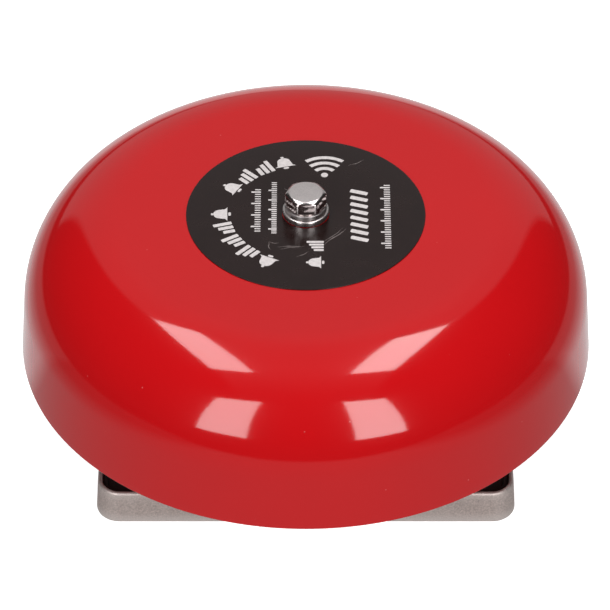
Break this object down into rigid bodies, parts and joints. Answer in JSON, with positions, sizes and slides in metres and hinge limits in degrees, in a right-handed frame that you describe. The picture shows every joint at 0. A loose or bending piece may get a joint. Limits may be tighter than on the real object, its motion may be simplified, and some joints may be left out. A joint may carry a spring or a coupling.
{
  "type": "fire alarm bell",
  "caption": "Red under-dome fire alarm bell: pressed steel gong on a cast square base, struck from inside by a sprung solenoid striker.",
  "frame": {"origin": "centre of the base's flat back, which lies against the wall", "axes": "+Z along the gong's axis, out of the wall; +Y along the striker's stroke towards the gong's wall; X across, with the cable entry at -X and -Y"},
  "size_m": [0.15, 0.15, 0.066],
  "materials": {
    "red_enamel": "high-gloss baked red enamel",
    "black_label": "glossy black printed plastic film",
    "cast_metal": "matt sand-textured die casting, uncoated",
    "black_plastic": "fine matt moulding",
    "plated_steel": "bright zinc plating with a fine turned grain",
    "yoke_steel": "satin soft iron with a passivated skin",
    "brass": "machined, slightly dull",
    "copper": "enamelled copper wire wound in layers",
    "nylon": "natural moulded nylon, satin",
    "fibre": "dull vulcanised fibre",
    "rubber": "matt black rubber",
    "coil_tape": "yellow polyester film tape",
    "brown_pvc": "satin cable insulation",
    "blue_pvc": "satin cable insulation",
    "earth_pvc": "green and yellow satin cable insulation"
  },
  "bodies": {
    "base": {"gong": "red_enamel", "gong_label": "black_label", "base_tray": "cast_metal", "inner_cover": "black_plastic", "flat_washer": "plated_steel", "lock_washer": "plated_steel", "gong_bolt": "plated_steel", "gong_post": "plated_steel", "post_screw": "plated_steel", "cover_screw_1": "plated_steel", "cover_screw_2": "plated_steel", "cover_screw_3": "plated_steel", "cover_screw_4": "plated_steel", "yoke_screw_1": "plated_steel", "yoke_screw_2": "plated_steel", "stop_screw": "plated_steel", "stop_nut": "plated_steel", "terminal_screw_1": "plated_steel", "terminal_screw_2": "plated_steel", "terminal_screw_3": "plated_steel", "block_screw_1": "plated_steel", "block_screw_2": "plated_steel", "earth_tag": "plated_steel", "yoke_frame": "yoke_steel", "yoke_keeper": "yoke_steel", "return_spring": "yoke_steel", "guide_tube": "brass", "terminal_clamp_1": "brass", "terminal_clamp_2": "brass", "terminal_clamp_3": "brass", "earth_screw": "brass", "coil_winding": "copper", "coil_bobbin": "nylon", "front_bush": "nylon", "terminal_block": "nylon", "seat_washer": "fibre", "cable_grommet": "rubber", "rear_buffer": "rubber", "coil_tape": "coil_tape", "live_lead": "brown_pvc", "neutral_lead": "blue_pvc", "earth_lead": "earth_pvc"},
    "striker": {"plunger": "yoke_steel", "striker_rod": "plated_steel", "striker_head": "brass"}
  },
  "joints": [
    {"name": "striker_slide", "type": "slide", "parent": "base", "child": "striker", "axis": [0, 1, 0], "range_m": [0, 0.0047], "stiffness_N_per_m": 300, "springref_m": -0.002, "deforming": ["return_spring"]}
  ]
}
